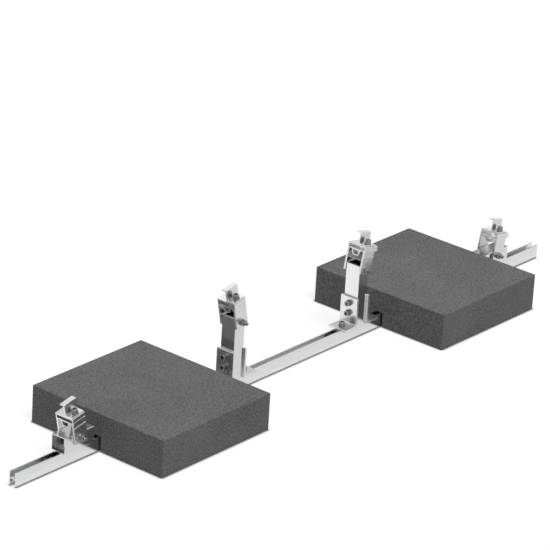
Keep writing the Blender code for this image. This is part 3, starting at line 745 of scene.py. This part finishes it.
class MOUNT_OT_sections(bpy.types.Operator):
    """Break the edges of the drawn sections and give them bright aluminium."""
    bl_idname = "mount.sections"
    bl_label = "Aluminium sections"
    bl_options = {"REGISTER", "UNDO"}

    def execute(self, context):
        look = bpy.context.scene.mount_sections
        long, upright, feet, heads = [
            bright_aluminium(f"aluminium_{name}", turn, way, roughness)
            for name, turn, way, roughness in (
                ("long", (0, 0, 0), (1, 0, 0), look.roughness),
                ("upright", (0, math.pi / 2, 0), (0, 0, 1), look.roughness),
                ("feet", (0, 0, math.pi / 2), (0, 1, 0), look.fitting_roughness),
                ("heads", (0, 0, 0), (1, 0, 0), look.fitting_roughness))]
        for node in NODES:
            if node.startswith(("base_rail", "low_base")):
                broken_edges(node, long)
            elif node.startswith("post_") and "bolt" not in node and "nut" not in node:
                broken_edges(node, upright)
            elif node.startswith(("foot_left", "foot_right")):
                broken_edges(node, feet)
            elif node.startswith(("head_", "clamp_high", "clamp_low")):
                broken_edges(node, heads)
        return {"FINISHED"}


class MOUNT_OT_blocks(bpy.types.Operator):
    """Give the cast ballast blocks their concrete."""
    bl_idname = "mount.blocks"
    bl_label = "Ballast blocks"
    bl_options = {"REGISTER", "UNDO"}

    def execute(self, context):
        concrete = cast_concrete("cast_concrete")
        for side in SIDES:
            block = NODES[f"ballast_block_{side}"]
            block.data.materials.clear()
            block.data.materials.append(concrete)
        return {"FINISHED"}


class MOUNT_OT_cap_screws(bpy.types.Operator):
    """Place the socket screws of the posts, feet, low bases and clamps."""
    bl_idname = "mount.cap_screws"
    bl_label = "Cap screws"
    bl_options = {"REGISTER", "UNDO"}

    def execute(self, context):
        look = bpy.context.scene.mount_fasteners
        steel = stainless("stainless_screws")
        tree, keys, sizes = screw_tree(False, steel)
        groups = {
            "post_screws": ([f"post_bolt_{side}_{end}" for side in SIDES
                             for end in ("lower", "upper")], 0, -1),
            "foot_screws": ([f"foot_bolt_{side}_{end}" for side in SIDES
                             for end in ("inner", "outer")], 2, 1),
            "base_screws": ([f"base_bolt_{side}" for side in SIDES], 2, 1)}
        for name, (nodes, axis, sign) in groups.items():
            places = [seat_over(node, axis, sign, look.head_height) for node in nodes]
            length = shank_under(nodes[0], axis, look.head_height)
            fasteners(name, places, tree, keys, {**sizes, "Length": length}, nodes)
        tree, keys, sizes = screw_tree(True, steel)
        spots = [(level, side) for level in LEVELS for side in SIDES]
        places = [head_place(*spot) @ Matrix.Translation((0, -look.clamp_offset, look.clamp_seat))
                  for spot in spots]
        fasteners("clamp_screws", places, tree, keys, {**sizes, "Length": look.clamp_shank},
                  [f"clamp_bolt_{level}_{side}" for level, side in spots])
        return {"FINISHED"}


class MOUNT_OT_hexagon_bolts(bpy.types.Operator):
    """Place the hexagon bolts and nuts of the pivots and the nuts of the posts."""
    bl_idname = "mount.hexagon_bolts"
    bl_label = "Hexagon bolts and nuts"
    bl_options = {"REGISTER", "UNDO"}

    def execute(self, context):
        look = bpy.context.scene.mount_fasteners
        steel = stainless("stainless_nuts", 0.8)
        spots = [(level, side) for level in LEVELS for side in SIDES]
        bolts = [f"pivot_bolt_{level}_{side}" for level, side in spots]
        tree, keys, sizes = bolt_tree(steel)
        sizes["Length"] = shank_under(bolts[0], 1, look.bolt_head)
        fasteners("pivot_bolts", tilted_seats(bolts, 1, look.bolt_head), tree, keys, sizes, bolts)
        tree, keys, sizes = nut_tree(steel)
        height = look.nut + look.washer_thickness
        nuts = [f"pivot_nut_{level}_{side}" for level, side in spots]
        fasteners("pivot_nuts", tilted_seats(nuts, -1, height), tree, keys, sizes, nuts)
        nuts = [f"post_nut_{side}_{end}" for side in SIDES for end in ("lower", "upper")]
        places = [seat_over(node, 0, 1, height) for node in nuts]
        fasteners("post_nuts", places, tree, keys, sizes, nuts)
        return {"FINISHED"}


class MOUNT_OT_channel_nuts(bpy.types.Operator):
    """Give the channel nuts in the rail and the heads their steel."""
    bl_idname = "mount.channel_nuts"
    bl_label = "Channel nuts"
    bl_options = {"REGISTER", "UNDO"}

    def execute(self, context):
        steel = stainless("stainless_plates", 0.6)
        for node in NODES:
            if node.startswith(("clamp_nut", "rail_nut")):
                NODES[node].data.materials.clear()
                NODES[node].data.materials.append(steel)
        return {"FINISHED"}


def light_seen(graph):
    """Camera, glossy and transmission rays, as one factor."""
    path = graph.node("ShaderNodeLightPath")
    rays = [Value(graph, path.outputs[name])
            for name in ("Is Camera Ray", "Is Glossy Ray", "Is Transmission Ray")]
    return graph.math("MAXIMUM", graph.math("MAXIMUM", rays[0], rays[1]), rays[2])


def seen_white(name):
    """Floor that looks white and keeps part of the shadow, with a painted contact shadow that
    darkens its white under close parts. Reflections show it with painted shade, darker on the near
    side and lighter beyond."""
    material = bpy.data.materials.new(name)
    material.use_nodes = True
    graph = Graph(material.node_tree)
    graph.tree.nodes.clear()
    # Painted contact shadow: ambient occlusion darkens the floor's white where the mount stands
    # close over it
    open_sky = graph.get("ShaderNodeAmbientOcclusion", {"samples": 8},
                         {"Distance": CONTACT_REACH}, output=1)
    contact = graph.math("POWER", open_sky, CONTACT_POWER)
    place = graph.node("ShaderNodeSeparateXYZ", None,
                       {0: graph.get("ShaderNodeTexCoord", output="Object")})
    glossy = Value(graph, graph.node("ShaderNodeLightPath").outputs["Is Glossy Ray"])
    # Painted reflection: only glossy rays see the floor darker on the mount's near side and
    # lighter beyond
    depth = graph.get("ShaderNodeMapRange", {"clamp": True},
                      {"Value": Value(graph, place.outputs["Y"]),
                       "From Min": MIRRORED_SPAN[0], "From Max": MIRRORED_SPAN[1],
                       "To Min": MIRRORED_SHADE[0], "To Max": MIRRORED_SHADE[1]})
    white = graph.get("ShaderNodeEmission", None,
                      {"Color": (1, 1, 1, 1),
                       "Strength": contact * (glossy * depth + (FLOOR_WHITE - FLOOR_SHADOW))})
    ground, shadow = [graph.get("ShaderNodeBsdfDiffuse", None, {"Color": (shade,) * 3 + (1,)})
                      for shade in (FLOOR_BOUNCE, FLOOR_SHADOW)]
    lit = graph.get("ShaderNodeAddShader", None, {0: white, 1: shadow})
    mixed = graph.get("ShaderNodeMixShader", None, {0: light_seen(graph), 1: ground, 2: lit})
    graph.node("ShaderNodeOutputMaterial", None, {"Surface": mixed})
    return material


class MOUNT_OT_stage(bpy.types.Operator):
    """Set the white studio: floor, soft room light, lamps and camera."""
    bl_idname = "mount.stage"
    bl_label = "Studio"
    bl_options = {"REGISTER", "UNDO"}

    def execute(self, context):
        scene = bpy.context.scene
        look = scene.mount_stage
        half = look.floor_size / 2
        mesh = bpy.data.meshes.new("floor")
        mesh.from_pydata([(-half, -half, 0), (half, -half, 0), (half, half, 0), (-half, half, 0)],
                         [], [(0, 1, 2, 3)])
        mesh.materials.append(seen_white("floor_white"))
        floor = bpy.data.objects.new("floor", mesh)
        floor.location.z = FLOOR_HEIGHT
        scene.collection.objects.link(floor)
        self.light_world(look)
        key = self.add_lamp("key_light", "SUN", KEY_PLACE, look.key)
        key.data.angle = look.key_angle
        fill = self.add_lamp("fill_light", "SUN", FILL_PLACE, look.fill)
        fill.data.angle = look.fill_angle
        fill.visible_glossy = False
        softbox = self.add_lamp("softbox", "AREA", SOFTBOX_PLACE, look.softbox)
        softbox.data.shape = "DISK"
        softbox.data.size = SOFTBOX_WIDTH
        # Painted reflections: cards that glow for reflections only
        for name, low, high in CARDS:
            self.add_card(name, low, high, getattr(look, name))
        camera = bpy.data.objects.new("camera", bpy.data.cameras.new("camera"))
        camera.location = look.eye
        camera.rotation_euler = look.turn
        camera.data.lens = look.lens
        camera.data.sensor_width = 36
        camera.data.clip_end = 200
        scene.collection.objects.link(camera)
        scene.camera = camera
        scene.view_settings.view_transform = "Standard"
        return {"FINISHED"}

    def light_world(self, look):
        """White room for the eye and the metal, dimmer as a light."""
        world = bpy.data.worlds.new("room")
        world.use_nodes = True
        bpy.context.scene.world = world
        graph = Graph(world.node_tree)
        graph.tree.nodes.clear()
        room = graph.get("ShaderNodeBackground", None,
                         {"Color": (1, 1, 1, 1), "Strength": look.ambient})
        white = graph.get("ShaderNodeBackground", None, {"Color": (1, 1, 1, 1), "Strength": 1.0})
        mixed = graph.get("ShaderNodeMixShader", None, {0: light_seen(graph), 1: room, 2: white})
        graph.node("ShaderNodeOutputWorld", None, {"Surface": mixed})

    def add_card(self, name, low, high, brightness):
        """Glowing card between two corners, flat along one axis, that only reflections see: a
        painted reflection, not a lamp.
        """
        mesh = bpy.data.meshes.new(name)
        mesh.from_pydata([low, (low[0], high[1], low[2]), high, (high[0], low[1], high[2])],
                         [], [(0, 1, 2, 3)])
        material = bpy.data.materials.new(name)
        material.use_nodes = True
        graph = Graph(material.node_tree)
        graph.tree.nodes.clear()
        glow = graph.get("ShaderNodeEmission", None,
                         {"Color": (1, 1, 1, 1), "Strength": brightness})
        graph.node("ShaderNodeOutputMaterial", None, {"Surface": glow})
        mesh.materials.append(material)
        card = bpy.data.objects.new(name, mesh)
        card.visible_camera = False
        card.visible_diffuse = False
        card.visible_transmission = False
        card.visible_shadow = False
        bpy.context.scene.collection.objects.link(card)

    def add_lamp(self, name, kind, place, power):
        """Lamp that points at the mount's middle and isn't seen itself."""
        data = bpy.data.lights.new(name, kind)
        data.energy = power
        lamp = bpy.data.objects.new(name, data)
        lamp.visible_camera = False
        lamp.location = place
        lamp.rotation_euler = (-Vector(place)).to_track_quat("-Z", "Y").to_euler()
        bpy.context.scene.collection.objects.link(lamp)
        return lamp


class MOUNT_PT_panel(bpy.types.Panel):
    """Buttons that build the mount's pieces and its studio."""
    bl_label = "Solar ballast mount"
    bl_space_type = "VIEW_3D"
    bl_region_type = "UI"
    bl_category = "Mount"

    def draw(self, context):
        for step in STEPS:
            self.layout.operator(step.bl_idname)
        for group in GROUPS:
            box = self.layout.box()
            settings = getattr(context.scene, group)
            for key in settings.bl_rna.properties.keys():
                if key not in {"rna_type", "name"}:
                    box.prop(settings, key)


STEPS = (MOUNT_OT_sections, MOUNT_OT_blocks, MOUNT_OT_cap_screws, MOUNT_OT_hexagon_bolts,
         MOUNT_OT_channel_nuts, MOUNT_OT_stage)


def register():
    for group, kind in GROUPS.items():
        bpy.utils.register_class(kind)
        setattr(bpy.types.Scene, group, PointerProperty(type=kind))
    for kind in (*STEPS, MOUNT_PT_panel):
        bpy.utils.register_class(kind)


def unregister():
    for kind in (MOUNT_PT_panel, *reversed(STEPS)):
        bpy.utils.unregister_class(kind)
    for group, kind in GROUPS.items():
        delattr(bpy.types.Scene, group)
        bpy.utils.unregister_class(kind)


def main():
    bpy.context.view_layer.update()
    register()
    bpy.ops.mount.sections()
    bpy.ops.mount.blocks()
    bpy.ops.mount.cap_screws()
    bpy.ops.mount.hexagon_bolts()
    bpy.ops.mount.channel_nuts()
    bpy.ops.mount.stage()


if __name__ == "__main__":
    main()
